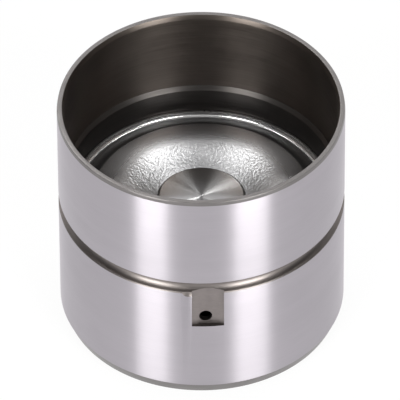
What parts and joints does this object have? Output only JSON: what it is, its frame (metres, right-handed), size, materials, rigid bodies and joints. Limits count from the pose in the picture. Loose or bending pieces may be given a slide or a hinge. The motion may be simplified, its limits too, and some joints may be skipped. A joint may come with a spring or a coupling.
{
  "type": "hydraulic valve lifter",
  "caption": "Hydraulic bucket tappet: ground cup with oil groove and closed cam face, and a sprung lash adjusting element in a guide sleeve inside.",
  "frame": {"origin": "centre of the cam face, the closed end that it stands on", "axes": "+Z along the axis towards the open end, -Y towards the oil pocket in the skirt"},
  "size_m": [0.035, 0.035, 0.0315],
  "materials": {
    "ground_steel": "centreless ground, fine lines round the axis",
    "drawn_steel": "drawn, turned outside and grained towards the mouth",
    "turned_steel": "face turned",
    "hardened_steel": "lapped",
    "ball_steel": "polished",
    "fine_spring_wire": "drawn wire",
    "pressed_sheet": "pressed sheet",
    "spring_wire": "drawn wire",
    "ring_wire": "dark drawn wire"
  },
  "bodies": {
    "bucket": {"bucket": "ground_steel", "guide_sleeve": "drawn_steel", "piston": "hardened_steel", "valve_cap": "pressed_sheet", "return_spring": "spring_wire", "check_ball_spring": "fine_spring_wire"},
    "element": {"inner_housing": "turned_steel", "retaining_ring": "ring_wire"},
    "check_valve": {"check_ball": "ball_steel"}
  },
  "joints": [
    {"name": "element_slide", "type": "slide", "parent": "bucket", "child": "element", "axis": [0, 0, 1], "range_m": [-0.0026, 0], "stiffness_N_per_m": 4000, "springref_m": 0.003, "deforming": ["return_spring"]},
    {"name": "ball_lift", "type": "slide", "parent": "bucket", "child": "check_valve", "axis": [0, 0, 1], "range_m": [0, 0.00025], "stiffness_N_per_m": 50, "springref_m": -0.0004, "deforming": ["check_ball_spring"]}
  ]
}
